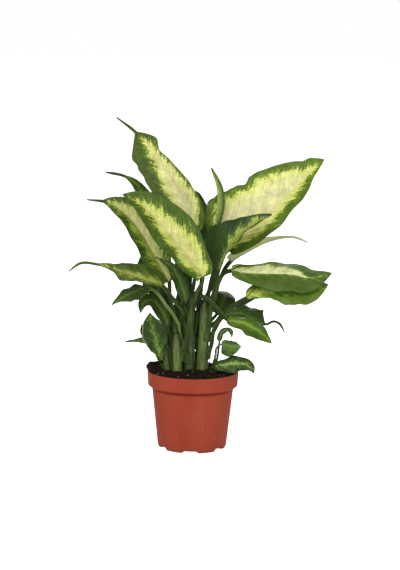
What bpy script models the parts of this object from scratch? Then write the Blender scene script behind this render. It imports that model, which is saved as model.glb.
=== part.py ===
"""A dieffenbachia in a plastic nursery pot: the pot, its soil, the canes, and one solid for each leaf.

Row frame: metres, +Z up. The origin is the middle of the pot's flat underside, and -Y is the front.
Sizes are written in millimetres, and finish() turns them to metres.
"""

import math

import bmesh
import bpy
from mathutils import Matrix, Vector, noise

MM = 0.001
GAP = 0.4  # between solids that touch in the real plant

# The pot: a moulded 12 cm nursery pot with a deep collar and six feet.
RIM_R = 60.0
POT_H = 102.0
COLLAR_FOOT_R = 59.0
COLLAR_FOOT_Z = 84.0
SHOULDER_R = 53.5
SHOULDER_Z = 79.5
WALL = 1.3
HEEL_R = 46.6
HEEL_Z = 9.0
BASE_R = 41.0
NOTCHES = 6
NOTCH_H = 4.7
NOTCH_INNER_R = 31.0
NOTCH_TURN = math.radians(-3.4)
NOTCH_HALF = math.radians(13.5)
DRAIN_R = 2.6
POT_STEPS = 60

# The soil: potting mix heaped a little above the rim.
SOIL_BOTTOM_Z = 8.0
SOIL_TOP_Z = 99.0
SOIL_HEAP = 4.5
SOIL_LUMP = 2.0
SPILL_TURN = math.radians(-112)  # where the soil lies heaped over the rim: the back left
SPILL_HALF = math.radians(42)
SPILL_RISE = 6.0
SPILL_REACH = 6.0
SOIL_STEPS = 36

# The canes: fleshy stems, each in a plain hole in the soil.
CANE_FOOT_Z = 68.0
CANE_SIDES = 12
CANE_TAPER = 0.35
RING_SPACING = 12.0
RING_SWELL = 0.2

# A leaf: its sheath clasps the cane, its stalk is half round, and its blade hangs on a deep midrib.
SHEATH_LENGTH = 16.0
SHEATH_WRAP = math.radians(50)
SHEATH_LEAVES = 1.2  # how far the stalk has left the cane at the sheath's end
SHEATH_DEPTH = 1.6
STALK_R = 2.5
STALK_DEPTH = 3.6
RIB_DEPTH = 3.4
RIB_TIP_DEPTH = 1.0
BLADE_DEPTH = 0.8
TIP_R = 0.6
LOBE = 6.0
LOBE_SHARE = 0.045  # of the blade's length, for a short leaf
COLUMNS = (-1.0, -0.46, 0.0, 0.46, 1.0)
STALK_ROWS = (0.3, 0.62, 0.85)
BLADE_ROWS = (0.0, 0.035, 0.13, 0.25, 0.38, 0.5, 0.62, 0.74, 0.86, 0.95, 1.0)
TAIL_ROWS = (0.5, 1.0)


def clear_scene():
    for obj in list(bpy.data.objects):
        bpy.data.objects.remove(obj)


def material(name, colour, roughness):
    made = bpy.data.materials.new(name)
    made.use_nodes = True
    shader = made.node_tree.nodes["Principled BSDF"]
    shader.inputs["Base Color"].default_value = (*colour, 1.0)
    shader.inputs["Roughness"].default_value = roughness
    shader.inputs["Metallic"].default_value = 0.0
    made.diffuse_color = (*colour, 1.0)
    return made


def finish(bm, name, surface, smooth_angle=50):
    """Turns a bmesh in millimetres into a named object in metres."""
    bmesh.ops.scale(bm, vec=(MM, MM, MM), verts=bm.verts)
    mesh = bpy.data.meshes.new(name)
    bm.to_mesh(mesh)
    bm.free()
    mesh.shade_smooth()
    mesh.set_sharp_from_angle(angle=math.radians(smooth_angle))
    mesh.materials.append(surface)
    obj = bpy.data.objects.new(name, mesh)
    bpy.context.scene.collection.objects.link(obj)
    return obj


def turned(profile, steps):
    """Spins an (r, z) profile, whose two ends lie on the axis, about Z."""
    bm = bmesh.new()
    verts = [bm.verts.new((r, 0.0, z)) for r, z in profile]
    edges = [bm.edges.new(pair) for pair in zip(verts, verts[1:])]
    bmesh.ops.spin(
        bm, geom=verts + edges, cent=(0, 0, 0), axis=(0, 0, 1), angle=math.tau, steps=steps, use_merge=True
    )
    bmesh.ops.remove_doubles(bm, verts=bm.verts, dist=1e-4)
    bmesh.ops.recalc_face_normals(bm, faces=bm.faces)
    return bm


def cut_with(body, name, cutter):
    cutter.hide_render = True
    cutter.display_type = "WIRE"
    cut = body.modifiers.new(name, "BOOLEAN")
    cut.operation = "DIFFERENCE"
    cut.solver = "EXACT"
    cut.object = cutter


def plugs(name, places, depth, sides, surface):
    """Upright round cutters, one for each (x, y, z, radius)."""
    bm = bmesh.new()
    for x, y, z, radius in places:
        made = bmesh.ops.create_cone(
            bm, cap_ends=True, segments=sides, radius1=radius, radius2=radius, depth=depth
        )
        bmesh.ops.translate(bm, vec=(x, y, z), verts=made["verts"])
    return finish(bm, name, surface)


# ---------------------------------------------------------------- pot

def pot_profile():
    """(r, z) up the outside, over the rim and down the inside."""
    outside = [
        (0, 0), (NOTCH_INNER_R, 0), (NOTCH_INNER_R + 1.5, 0), (BASE_R, 0), (BASE_R + 3.4, 1.5),
        (HEEL_R, HEEL_Z), (SHOULDER_R, SHOULDER_Z), (COLLAR_FOOT_R, COLLAR_FOOT_Z),
        (RIM_R, POT_H - 0.7), (RIM_R - 0.5, POT_H),
    ]
    inside = [
        (RIM_R - 1.6, POT_H), (COLLAR_FOOT_R - WALL, COLLAR_FOOT_Z + 0.8),
        (SHOULDER_R - WALL, SHOULDER_Z + 0.4), (HEEL_R - WALL, HEEL_Z + 0.5),
        (BASE_R, WALL), (NOTCH_INNER_R + 1.5, WALL), (NOTCH_INNER_R - 1.0, WALL), (0, WALL),
    ]
    return outside + inside


def over_notch(x, y):
    period = math.tau / NOTCHES
    off = (math.atan2(x, -y) - NOTCH_TURN + period / 2) % period - period / 2
    return abs(off) < NOTCH_HALF


def pot(surface):
    bm = turned(pot_profile(), POT_STEPS)
    bmesh.ops.rotate(bm, verts=bm.verts, cent=(0, 0, 0), matrix=Matrix.Rotation(NOTCH_TURN, 3, "Z"))
    for v in bm.verts:
        r = math.hypot(v.co.x, v.co.y)
        if NOTCH_INNER_R + 1.0 < r < HEEL_R - 1.5 and v.co.z < HEEL_Z - 1 and over_notch(v.co.x, v.co.y):
            v.co.z = NOTCH_H + (WALL if v.co.z > WALL - 0.1 and r < BASE_R + 1 else 0.0)
    body = finish(bm, "pot", surface, 35)
    ring = NOTCH_INNER_R + 5.5
    angles = [NOTCH_TURN + i * math.tau / NOTCHES for i in range(NOTCHES)]
    holes = [(ring * math.sin(a), -ring * math.cos(a), 5.0, DRAIN_R) for a in angles]
    cut_with(body, "drain_holes", plugs("drain_cutter", holes, 12.0, 10, surface))
    return body


# ---------------------------------------------------------------- soil

def spill(x, y):
    """How far the soil is heaped over the rim here: 1 at the middle of the heap, 0 beside it."""
    off = abs((math.atan2(x, -y) - SPILL_TURN + math.pi) % math.tau - math.pi)
    return math.cos(off / SPILL_HALF * math.pi / 2) ** 0.7 if off < SPILL_HALF else 0.0


def soil_height(x, y):
    """The heaped, lumpy top of the potting mix, highest at the back left."""
    r = math.hypot(x, y) / RIM_R
    coarse = noise.noise(Vector((x / 15.0, y / 15.0, 3.1)))
    fine = noise.noise(Vector((x / 7.0, y / 7.0, 8.4)))
    lean = max(0.0, (y - x) / RIM_R)
    heap = SOIL_HEAP * (1.0 - r * r) + SPILL_RISE * spill(x, y) * min(1.0, r) ** 8
    return SOIL_TOP_Z + heap + 2.0 * lean + SOIL_LUMP * (coarse + 0.4 * fine)


def soil(surface):
    inner = WALL + 0.6
    edge = RIM_R - 2.6
    rings = [(edge * share, SOIL_TOP_Z) for share in (0.0, 0.2, 0.4, 0.6, 0.8, 0.92, 1.0)]
    rings += [(edge - 0.05 * step, SOIL_TOP_Z - 0.5 * step) for step in (1, 2, 3)]
    wall = [
        (COLLAR_FOOT_R - inner - 0.2, COLLAR_FOOT_Z + 1.2), (SHOULDER_R - inner, SHOULDER_Z + 1.0),
        (HEEL_R - inner, HEEL_Z + 1.2), (BASE_R - 1.0, SOIL_BOTTOM_Z), (0, SOIL_BOTTOM_Z),
    ]
    bm = turned(rings + wall, SOIL_STEPS)
    for v in bm.verts:
        step = round((SOIL_TOP_Z - v.co.z) / 0.5)
        if step <= 3:
            heaped = min(1.0, 2.5 * spill(v.co.x, v.co.y))
            out = SPILL_REACH * max(0.0, spill(v.co.x, v.co.y) - 0.4) / 0.6
            out *= (0.85, 1.0, 0.75, 0.0)[step] * (v.co.xy.length > edge - 1.0)
            v.co.xy *= 1.0 + out / max(v.co.xy.length, 1.0)
            over_rim = (0.0, 2.6, 0.8, 0.5)[step] + POT_H
            v.co.z = soil_height(v.co.x, v.co.y) - 0.5 * step
            if step:
                v.co.z += (over_rim - v.co.z) * heaped
    body = finish(bm, "soil", surface, 60)
    holes = [
        (*spec["foot"], CANE_FOOT_Z - GAP + 30.0, spec["r"] + GAP + 0.3) for spec in CANES.values()
    ]
    cut_with(body, "cane_holes", plugs("cane_hole_cutter", holes, 60.0, 14, surface))
    return body


# ---------------------------------------------------------------- canes

# foot: its place in the soil; top: its growing point; r: its radius at the soil.
CANES = {
    "a": dict(foot=(-33, -3), top=(-40, -2, 150), r=5.6),
    "b": dict(foot=(-20, -9), top=(-23, -8, 155), r=6.6),
    "c": dict(foot=(-5, 5), top=(-4, 10, 204), r=7.4),
    "d": dict(foot=(12, -1), top=(15, 3, 198), r=8.2),
    "e": dict(foot=(27, -16), top=(27, -18, 122), r=2.8),
    "f": dict(foot=(8, 30), top=(6, 36, 206), r=5.0),
    "g": dict(foot=(-24, 24), top=(-29, 28, 156), r=4.6),
}


def cane_point(key, z):
    """The middle of the cane at a height. Below the soil it stands upright."""
    spec = CANES[key]
    foot = Vector((*spec["foot"], SOIL_TOP_Z))
    share = max(0.0, (z - SOIL_TOP_Z) / (spec["top"][2] - SOIL_TOP_Z))
    at = foot.lerp(Vector(spec["top"]), share)
    return Vector((at.x, at.y, z))


def cane_radius(key, z):
    spec = CANES[key]
    share = max(0.0, (z - SOIL_TOP_Z) / (spec["top"][2] - SOIL_TOP_Z))
    return spec["r"] * (1.0 - CANE_TAPER * share)


def cane(key, surface):
    """A round stem, swollen a little at each ring where an old leaf fell, with a blunt top."""
    top_z = CANES[key]["top"][2]
    rings = int((top_z - SOIL_TOP_Z) / RING_SPACING)
    levels = [(CANE_FOOT_Z, 0.0), (SOIL_TOP_Z, 0.0)]
    levels += [(SOIL_TOP_Z + (i + 0.5) * RING_SPACING, RING_SWELL * (i % 2)) for i in range(rings)]
    levels += [(top_z - 1.5, -0.4), (top_z, -1.6)]
    wall = [(cane_radius(key, z) + swell, z) for z, swell in levels]
    bm = turned([(0, CANE_FOOT_Z), *wall, (0, top_z)], CANE_SIDES)
    for v in bm.verts:
        v.co += cane_point(key, v.co.z).xy.to_3d()
    return finish(bm, f"cane_{key}", surface)


# ---------------------------------------------------------------- leaves

def smoothstep(x):
    x = min(1.0, max(0.0, x))
    return x * x * (3.0 - 2.0 * x)


def smooth_path(points, steps=12):
    """A smooth curve through the points, as many short steps, with the step number of each point."""
    ends = [points[0] * 2 - points[1], *points, points[-1] * 2 - points[-2]]
    path, marks = [], []
    for p0, p1, p2, p3 in zip(ends, ends[1:], ends[2:], ends[3:]):
        marks.append(len(path))
        k = (p2 - p1).length
        m1 = ((p1 - p0) / (p1 - p0).length + (p2 - p1) / k).normalized() * k
        m2 = ((p2 - p1) / k + (p3 - p2) / (p3 - p2).length).normalized() * k
        for i in range(steps):
            t = i / steps
            a, b = 2 * t**3 - 3 * t**2 + 1, t**3 - 2 * t**2 + t
            path.append(p1 * a + m1 * b + p2 * (1 - a) + m2 * (t**3 - t**2))
    marks.append(len(path))
    path.append(points[-1].copy())
    return path, marks


class Axis:
    """The line up a leaf's stalk and along its midrib."""

    def __init__(self, spec):
        key, node = spec["cane"], spec["node"]
        turn = math.radians(spec["turn"])
        self.out = Vector((math.sin(turn), -math.cos(turn), 0.0))
        self.clasp_r = cane_radius(key, node) + GAP
        reach = spec.get("sheath", SHEATH_LENGTH)
        seats = [
            cane_point(key, node) + self.out * self.clasp_r,
            cane_point(key, node + reach) + self.out * (self.clasp_r + SHEATH_LEAVES),
        ]
        points = seats + [Vector(p) for p in spec.get("stalk", [])] + [Vector(p) for p in spec["blade"]]
        self.path, marks = smooth_path(points)
        self.lengths = [0.0]
        for a, b in zip(self.path, self.path[1:]):
            self.lengths.append(self.lengths[-1] + (b - a).length)
        self.sheath = self.lengths[marks[1]]
        self.neck = self.lengths[marks[-len(spec["blade"])]]
        self.end = self.lengths[-1]

    def at(self, s):
        """The point and the direction a length s along the line."""
        s = min(max(s, 0.0), self.end)
        i = next((i for i, length in enumerate(self.lengths[1:]) if length >= s), len(self.lengths) - 2)
        span = self.lengths[i + 1] - self.lengths[i]
        point = self.path[i].lerp(self.path[i + 1], (s - self.lengths[i]) / span)
        before, after = max(i - 1, 0), min(i + 2, len(self.path) - 1)
        return point, (self.path[after] - self.path[before]).normalized()


def blade_outline(t):
    """The share of its greatest half width that a plain blade has at t, from the neck to the tip."""
    return 2.31 * t**0.45 * (1.0 - t) ** 0.85


def half_width(values, t):
    """Half widths at even steps between the neck and the tip scale the plain outline."""
    if isinstance(values, (int, float)):
        return values * blade_outline(t)
    count = len(values) + 1
    scales = [value / blade_outline((i + 1) / count) for i, value in enumerate(values)]
    scales = [scales[0], *scales, scales[-1]]
    place = t * count
    i = min(int(place), count - 1)
    return blade_outline(t) * (scales[i] + (scales[i + 1] - scales[i]) * smoothstep(place - i))


class Leaf:
    """Works out where each point of a leaf's upper face and underside lies."""

    def __init__(self, spec):
        self.spec = spec
        self.axis = Axis(spec)
        self.face = Vector(spec["face"]).normalized()
        self.tail = spec.get("tail", 0.0)
        self.stalk_r = spec.get("stalk_r", STALK_R)

    def frame(self, s):
        """Point, direction, normal and right-hand side of the line at s."""
        point, along = self.axis.at(s)
        turned_over = smoothstep((s - self.axis.sheath) / max(self.axis.neck - self.axis.sheath, 1.0))
        normal = (-self.axis.out).lerp(self.face, turned_over)
        normal = (normal - along * along.dot(normal)).normalized()
        return point, along, normal, along.cross(normal)

    def stalk_point(self, s, v, under):
        point, _, normal, side = self.frame(s)
        free = smoothstep(s / self.axis.sheath - 0.4)
        hug = self.axis.clasp_r
        bend = hug + (4.5 - hug) * free
        half = hug * math.sin(SHEATH_WRAP) * (1.0 - free) + self.stalk_r * free
        cup = bend - math.sqrt(bend * bend - (half * v) ** 2)
        depth = SHEATH_DEPTH + (STALK_DEPTH * self.stalk_r / STALK_R - SHEATH_DEPTH) * free
        drop = BLADE_DEPTH + depth * (1.0 - v * v)
        return point + side * half * v + normal * (cup - (drop if under else 0.0))

    def blade_point(self, t, v, under):
        """t runs from 0 at the neck to 1 at the end of the tail."""
        s = self.axis.neck + t * (self.axis.end - self.axis.neck)
        point, along, normal, side = self.frame(s)
        body = min(1.0, t / (1.0 - self.tail))
        hand = "left" if v < 0 else "right"
        width = half_width(self.spec[hand], body) if body < 1.0 else 0.0
        slim = TIP_R + 1.4 * min(1.0, (1.0 - t) * 8.0)
        width = max(width, slim if t > 0.5 else self.stalk_r)
        fold = math.radians(self.spec["fold"][v > 0])
        sign = -1.0 if v < 0 else 1.0
        reach = abs(v) * width
        ripple = self.ripple(body, v) * min(1.0, width / 14.0)
        out = side * sign * math.cos(fold) + normal * math.sin(fold)
        facing = normal * math.cos(fold) - side * sign * math.sin(fold)
        lobe = min(LOBE, LOBE_SHARE * (self.axis.end - self.axis.neck), 0.3 * width)
        swept = -lobe * v * v * (1.0 - smoothstep(body / 0.22))
        place = point + out * reach + facing * ripple + along * swept
        if not under:
            return place
        rib = RIB_TIP_DEPTH + (RIB_DEPTH * self.stalk_r / STALK_R - RIB_TIP_DEPTH) * (1.0 - t) ** 0.8
        thick = BLADE_DEPTH + (rib if v == 0.0 else 0.15 * (1.0 - abs(v)))
        return place - (normal if v == 0.0 else facing) * thick

    def ripple(self, body, v):
        """The wave of the margin, in mm."""
        height, count, phase = self.spec.get("wave", (2.0, 3.0, 0.0))
        turn = math.tau * count * body + phase + (1.9 if v > 0 else 0.0)
        return height * v * v * math.sin(turn) * math.sin(math.pi * min(1.0, body + 0.08))

    def rows(self):
        """The lengths along the line at which the leaf has a row of points."""
        free = self.axis.neck - self.axis.sheath
        stalk = [("stalk", 0.0), ("stalk", self.axis.sheath * 0.55), ("stalk", self.axis.sheath)]
        stalk += [("stalk", self.axis.sheath + free * share) for share in STALK_ROWS]
        body = 1.0 - self.tail
        blade = [("blade", t * body) for t in BLADE_ROWS]
        if self.tail:
            blade += [("blade", body + self.tail * t) for t in TAIL_ROWS]
        return stalk + blade

    def place(self, row, v, under):
        kind, at = row
        if kind == "stalk":
            return self.stalk_point(at, v, under)
        if at == 0.0:
            return self.stalk_point(self.axis.neck, v, under)
        return self.blade_point(at, v, under)


def leaf(name, spec, surface):
    """Extrudes a flat sheet of triangles into a closed slab, then bends it into the leaf."""
    shape = Leaf(spec)
    rows = shape.rows()
    bm = bmesh.new()
    bmesh.ops.create_grid(bm, x_segments=len(COLUMNS) - 1, y_segments=len(rows) - 1, size=1.0)
    bmesh.ops.triangulate(bm, faces=bm.faces, quad_method="FIXED")
    upper = set(bm.verts)
    bmesh.ops.extrude_face_region(bm, geom=bm.faces[:])
    for v in bm.verts:
        column = round((v.co.x + 1.0) / 2.0 * (len(COLUMNS) - 1))
        row = round((v.co.y + 1.0) / 2.0 * (len(rows) - 1))
        v.co = shape.place(rows[row], COLUMNS[column], v not in upper)
    bmesh.ops.triangulate(bm, faces=bm.faces)
    bmesh.ops.recalc_face_normals(bm, faces=bm.faces)
    return finish(bm, name, surface, 40)


# cane, node and turn: the cane it grows on, the height of its joint in mm, and the side that it leaves
# from in degrees (0 is the front, 90 the right). stalk and blade: points up the stalk, and from the neck
# along the midrib to the tip. face: the way that the upper face looks. fold: how far each half is lifted,
# in degrees. left and right: half widths. wave: height, number and phase of the margin's waves.
LEAVES = {
    "leaf_crown_left": dict(
        cane="c", node=182, turn=170, stalk=[(1, 16, 226), (0, 8, 258)],
        blade=[
            (-3, 0, 286), (-19, -4, 331), (-40, -6, 367), (-60, -6, 395), (-79, -6, 415),
            (-103, -6, 433),
        ],
        face=(-0.1, -0.95, 0.2), fold=(20, 28), tail=0.17, wave=(1.0, 3, 0.5),
        left=(24, 29, 31, 31, 30, 29, 25), right=(23, 26, 22, 18, 15, 9, 15),
    ),
    "leaf_crown_back": dict(
        cane="c", node=150, turn=110, stalk=[(6, 24, 190), (10, 24, 230)],
        blade=[(13, 24, 262), (14, 24, 298), (10, 26, 320), (-4, 26, 332), (-18, 26, 326)],
        face=(-0.7, -0.6, 0.2), fold=(25, 25), left=19, right=13,
    ),
    "leaf_crown_right": dict(
        cane="d", node=156, turn=160, stalk=[(18, 17, 195), (28, 16, 238)],
        blade=[(42, 8, 262), (75, 12, 292), (104, 18, 320), (135, 26, 349), (168, 34, 380)],
        face=(-0.29, -0.9, 0.3), fold=(25, 25), wave=(1.8, 3.5, 0.0),
        left=(48, 62, 62, 60, 57, 54, 47, 50, 48, 43, 38.5, 33, 26.5, 17.5, 13),
        right=(24, 31, 32, 30, 27, 20, 9),
    ),
    "leaf_crown_dark": dict(
        cane="d", node=178, turn=80, stalk=[(25, -4, 214)],
        blade=[(30, -15, 238), (38, -24, 260), (49, -28, 278), (62, -30, 291), (79, -31, 303), (98, -32, 314)],
        face=(-0.56, -0.57, 0.59), fold=(25, 25),
        left=(26, 37, 36, 28, 20, 13, 8), right=(12, 17, 19, 17, 13, 9, 5),
    ),
    "leaf_spear": dict(
        cane="d", node=178, turn=190, stalk=[(19, 8, 206), (26, 5, 238)],
        blade=[(31, 2, 296), (36, 2, 322), (33, 1, 345), (20, 0, 369)],
        face=(-0.5, -0.8, 0.0), fold=(55, 55), left=8, right=9, wave=(0.3, 2, 0),
    ),
    "leaf_front_big": dict(
        cane="c", node=112, turn=-35, stalk=[(-5, -10, 165), (2, -17, 205)],
        blade=[(11, -22, 229), (-9, -30, 259), (-41, -38, 297), (-68, -44, 325), (-92, -48, 338)],
        face=(0.33, -0.89, 0.31), fold=(27, 27), wave=(1.6, 3, 1.0),
        left=(22, 27, 29, 30, 28, 23, 13), right=(20, 28, 33, 34, 31, 25, 15),
    ),
    "leaf_left_high": dict(
        cane="b", node=140, turn=-165, stalk=[(-26, 2, 176), (-32, 2, 200)],
        blade=[
            (-33, 0, 219), (-43, -4, 238), (-54, -7, 258), (-67, -9, 281), (-88, -10, 307),
            (-112, -12, 323), (-140, -12, 327),
        ],
        face=(0.2, -0.9, 0.3), fold=(20, 20), tail=0.12,
        left=(17, 20, 20, 18, 15, 13, 9), right=(13, 20, 28, 31, 30, 25, 14),
    ),
    "leaf_left_peak": dict(
        cane="g", node=134, turn=150, stalk=[(-31, 30, 180), (-36, 22, 260)],
        blade=[(-54, 16, 318), (-68, 14, 333), (-79, 13, 346), (-91, 12, 355), (-118, 12, 361)],
        face=(0.1, -0.8, 0.5), fold=(20, 20), tail=0.3, left=8, right=8,
    ),
    "leaf_right_upper": dict(
        cane="d", node=142, turn=45, stalk=[(21, -7, 180), (27, -12, 208), (37, -14, 233)],
        blade=[
            (47, -15, 238), (65, -17, 236), (95, -24, 236), (125, -28, 236), (149, -30, 232),
            (177, -32, 239),
        ],
        face=(0.0, -0.6, 0.8), fold=(-10, -10), wave=(1.5, 3, 0.6),
        left=(17, 23, 25, 25, 25, 22, 13), right=(13, 20, 25, 27, 27, 24, 14),
    ),
    "leaf_right_lower": dict(
        cane="d", node=118, turn=75, stalk=[(28, -8, 168), (47, -14, 189)],
        blade=[(68, -20, 203), (98, -25, 214), (123, -28, 217), (150, -30, 219), (173, -31, 224)],
        face=(0.0, -0.6, 0.8), fold=(-8, -10),
        left=(20, 25, 26, 26, 24, 18, 11), right=(5, 11, 18, 24, 26, 25, 16),
    ),
    "leaf_right_high": dict(
        cane="f", node=154, turn=50, stalk=[(19, 26, 186), (32, 20, 218)],
        blade=[(46, 20, 245), (72, 28, 261), (100, 36, 273), (128, 38, 277), (151, 38, 270)],
        face=(0.0, 0.45, 0.9), fold=(12, 12), left=(26, 26, 20, 10, 4), right=(20, 20, 14, 7, 4), tail=0.22,
    ),
    "leaf_left_long": dict(
        cane="c", node=148, turn=-75, stalk=[(-14, -12, 183), (-31, -28, 207)],
        blade=[
            (-40, -36, 219), (-64, -41, 228), (-95, -45, 239), (-126, -47, 248), (-145, -48, 249),
            (-161, -48, 238),
        ],
        face=(0.0, -0.7, 0.7), fold=(-8, 5), tail=0.3, wave=(1.6, 3, 0.0),
        left=(4, 5, 6, 10, 12, 4, 2), right=(20, 20, 21, 18, 13, 8, 5),
    ),
    "leaf_left_drooping": dict(
        cane="c", node=129, turn=-95, sheath=9, stalk=[(-16, -1, 150), (-19, -12, 167), (-36, -19, 192)],
        blade=[(-57, -20, 214), (-68, -20, 213), (-80, -20, 208), (-94, -19, 200), (-107, -18, 191)],
        face=(-0.2, -0.6, 0.8), fold=(-10, -5),
        left=(12, 16, 13, 8, 3), right=(7, 12, 14, 12, 7), stalk_r=1.8,
    ),
    "leaf_centre_dark": dict(
        cane="c", node=170, turn=-60, sheath=11, stalk=[],
        blade=[(-11, 1, 193), (-14, -1, 206), (-20, -5, 223), (-31, -14, 242), (-50, -21, 255)],
        face=(0.2, -0.9, 0.3), fold=(10, 10), left=(8, 9, 9, 6, 3), right=(8, 9, 9, 6, 3), stalk_r=2.2,
    ),
    "leaf_left_inner": dict(
        cane="b", node=105, turn=-110, stalk=[(-31, -1, 142)],
        blade=[(-35, 2, 162), (-44, 4, 182), (-55, 4, 193), (-66, 4, 190), (-70, 3, 177)],
        face=(0.3, -0.7, 0.6), fold=(10, 10), left=10, right=13, stalk_r=2.0,
    ),
    "leaf_left_low": dict(
        cane="a", node=104.5, turn=-105, sheath=8, stalk=[],
        blade=[(-43, -11, 117), (-46, -15, 132), (-51, -18, 152), (-55, -19, 167), (-57, -20, 181)],
        face=(0.2, -0.95, 0.2), fold=(12, 12), left=(5, 11, 15, 17, 15, 10), right=(7, 12, 15, 16, 13, 8),
        stalk_r=2.2,
    ),
    "leaf_left_shaded": dict(
        cane="a", node=132, turn=180, sheath=8, stalk=[],
        blade=[(-51, 10, 147), (-58, 10, 147), (-66, 9, 151), (-68, 8, 161)],
        face=(0.3, -0.8, 0.3), fold=(10, 10), left=6, right=7, stalk_r=1.6,
    ),
    "leaf_left_tip": dict(
        cane="a", node=115, turn=180, sheath=8, stalk=[(-44, 5, 129)],
        blade=[(-51, 5, 133), (-60, 8, 137), (-74, 10, 139), (-90, 10, 138)],
        face=(0.0, -0.2, 0.95), fold=(10, 10), left=9, right=10, tail=0.2, stalk_r=1.6,
    ),
    "leaf_right_round": dict(
        cane="f", node=140, turn=85, sheath=10, stalk=[(22, 36, 162)],
        blade=[(31, 42, 171), (38, 54, 182), (42, 66, 192), (44, 78, 196)],
        face=(0.1, -0.75, 0.65), fold=(5, 5), left=(15, 18, 17, 13), right=(14, 16, 15, 11), stalk_r=2.0,
    ),
    "leaf_right_shaded": dict(
        cane="f", node=110, turn=60, stalk=[(26, 16, 154)],
        blade=[
            (40, 11, 174), (58, 11, 178), (74, 10, 174), (86, 9, 166), (96, 8, 164), (105, 8, 168),
            (113, 8, 165), (120, 6, 154),
        ],
        face=(0.0, -0.6, 0.8), fold=(-5, -5), tail=0.36,
        left=(11, 13, 16, 19, 21), right=(12, 15, 15, 12, 8),
    ),
    "leaf_right_bright": dict(
        cane="c", node=184, turn=50, sheath=12, stalk=[(7, -10, 204), (18, -17, 200), (31, -21, 188)],
        blade=[(44, -22, 175), (64, -26, 171), (83, -29, 162), (102, -32, 146)],
        face=(0.1, -0.6, 0.8), fold=(-5, -5), left=(10, 13, 15, 13, 7), right=(10, 13, 15, 14, 8),
    ),
    "leaf_sucker_curled": dict(
        cane="e", node=113, turn=120, sheath=5, stalk=[(33, -14, 136)],
        blade=[(34, -12, 144), (37, -11, 153), (43, -10, 158), (49, -10, 156), (50, -10, 149)],
        face=(-0.3, -0.5, 0.8), fold=(20, 20), left=5.5, right=5.5, stalk_r=1.1,
    ),
    "leaf_sucker_heart": dict(
        cane="e", node=108, turn=30, sheath=5, stalk=[(28, -26, 127), (31, -27, 139)],
        blade=[(37, -28, 143), (48, -30, 140), (62, -32, 141)],
        face=(-0.1, -0.8, 0.5), fold=(-5, -5), left=(8, 9, 7), right=(13, 13, 8), stalk_r=1.1,
    ),
    "leaf_sucker_low": dict(
        cane="e", node=103.5, turn=-60, sheath=5, stalk=[],
        blade=[(28, -30, 114), (45, -36, 118), (62, -40, 120), (74, -42, 116), (79, -43, 108)],
        face=(-0.1, -0.75, 0.65), fold=(-5, -5),
        left=(8, 11, 12, 10, 7), right=(8, 12, 13, 10, 6), stalk_r=1.2,
    ),
    "leaf_back_high_left": dict(
        cane="f", node=160, turn=-130, sheath=10, stalk=[],
        blade=[(-8, 46, 190), (-12, 52, 208), (-18, 60, 234), (-30, 80, 272), (-42, 96, 300)],
        face=(0.3, -0.7, 0.6), fold=(20, 20),
        left=(6, 8, 12, 17, 20, 18, 11), right=(8, 12, 16, 18, 20, 18, 11),
    ),
    "leaf_back_high_right": dict(
        cane="f", node=166, turn=140, stalk=[(22, 50, 206)],
        blade=[(28, 58, 245), (60, 74, 285), (90, 88, 308), (116, 96, 312)],
        face=(-0.4, -0.6, 0.7), fold=(18, 18), left=27, right=27,
    ),
    "leaf_back_left": dict(
        cane="g", node=120, turn=-100, stalk=[(-41, 40, 164)],
        blade=[(-50, 48, 190), (-60, 56, 214), (-64, 60, 236), (-58, 62, 256)],
        face=(0.2, -0.85, 0.4), fold=(12, 12), left=(8, 12, 14, 14, 9), right=(8, 12, 13, 12, 8),
    ),
    "leaf_back_right": dict(
        cane="f", node=127, turn=150, sheath=12, stalk=[(30, 56, 158), (58, 58, 178)],
        blade=[(78, 60, 191), (100, 70, 200), (122, 80, 200), (140, 88, 190)],
        face=(0.0, -0.3, 0.95), fold=(12, 12), left=17, right=17,
    ),
    "leaf_back_tall_left": dict(
        cane="g", node=106, turn=15, sheath=11, stalk=[],
        blade=[(-21, 16, 130), (-19, 17, 155), (-17, 18, 180), (-15, 19, 205), (-14, 20, 222)],
        face=(0.0, -1.0, 0.1), fold=(4, 4), left=(9, 11, 11, 9, 6), right=(8, 10, 10, 7, 5), stalk_r=2.0,
    ),
    "leaf_back_mid_left": dict(
        cane="g", node=146, turn=-45, sheath=9, stalk=[],
        blade=[(-38, 16, 168), (-42, 15, 182), (-46, 14, 200), (-50, 14, 218), (-52, 14, 232)],
        face=(0.1, -1.0, 0.1), fold=(6, 6), left=(11, 14, 14, 11, 6), right=(10, 12, 12, 10, 6), stalk_r=2.0,
    ),
    "leaf_back_tall_right": dict(
        cane="f", node=104, turn=-48, sheath=11, stalk=[],
        blade=[(5, 20, 126), (3, 19, 138), (2, 19, 151), (2, 19, 164)],
        face=(0.0, -1.0, 0.1), fold=(4, 4), left=(8, 9, 9), right=(7, 9, 9), stalk_r=1.8, wave=(1, 2, 0),
    ),
    "leaf_back_drooping": dict(
        cane="f", node=106, turn=180, stalk=[(6, 50, 136)],
        blade=[(2, 62, 138), (-6, 80, 130), (-13, 94, 110), (-18, 102, 84)],
        face=(0.0, 0.5, 0.9), fold=(12, 12), left=19, right=19,
    ),
    "leaf_back_low": dict(
        cane="g", node=105, turn=-170, sheath=12, stalk=[(-30, 42, 132)],
        blade=[(-34, 52, 144), (-42, 74, 154), (-48, 90, 150), (-52, 102, 138)],
        face=(0.1, 0.1, 1.0), fold=(12, 12), left=17, right=17,
    ),
}


def build():
    clear_scene()
    plastic = material("terracotta_plastic", (0.36, 0.08, 0.035), 0.5)
    mix = material("potting_soil", (0.02, 0.012, 0.009), 0.95)
    green = material("cane_green", (0.06, 0.11, 0.02), 0.4)
    blade = material("leaf_green", (0.07, 0.15, 0.025), 0.35)
    pot(plastic)
    soil(mix)
    for key in CANES:
        cane(key, green)
    for name, spec in LEAVES.items():
        leaf(name, spec, blade)


build()
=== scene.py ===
import math
import random
from functools import partial

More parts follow.
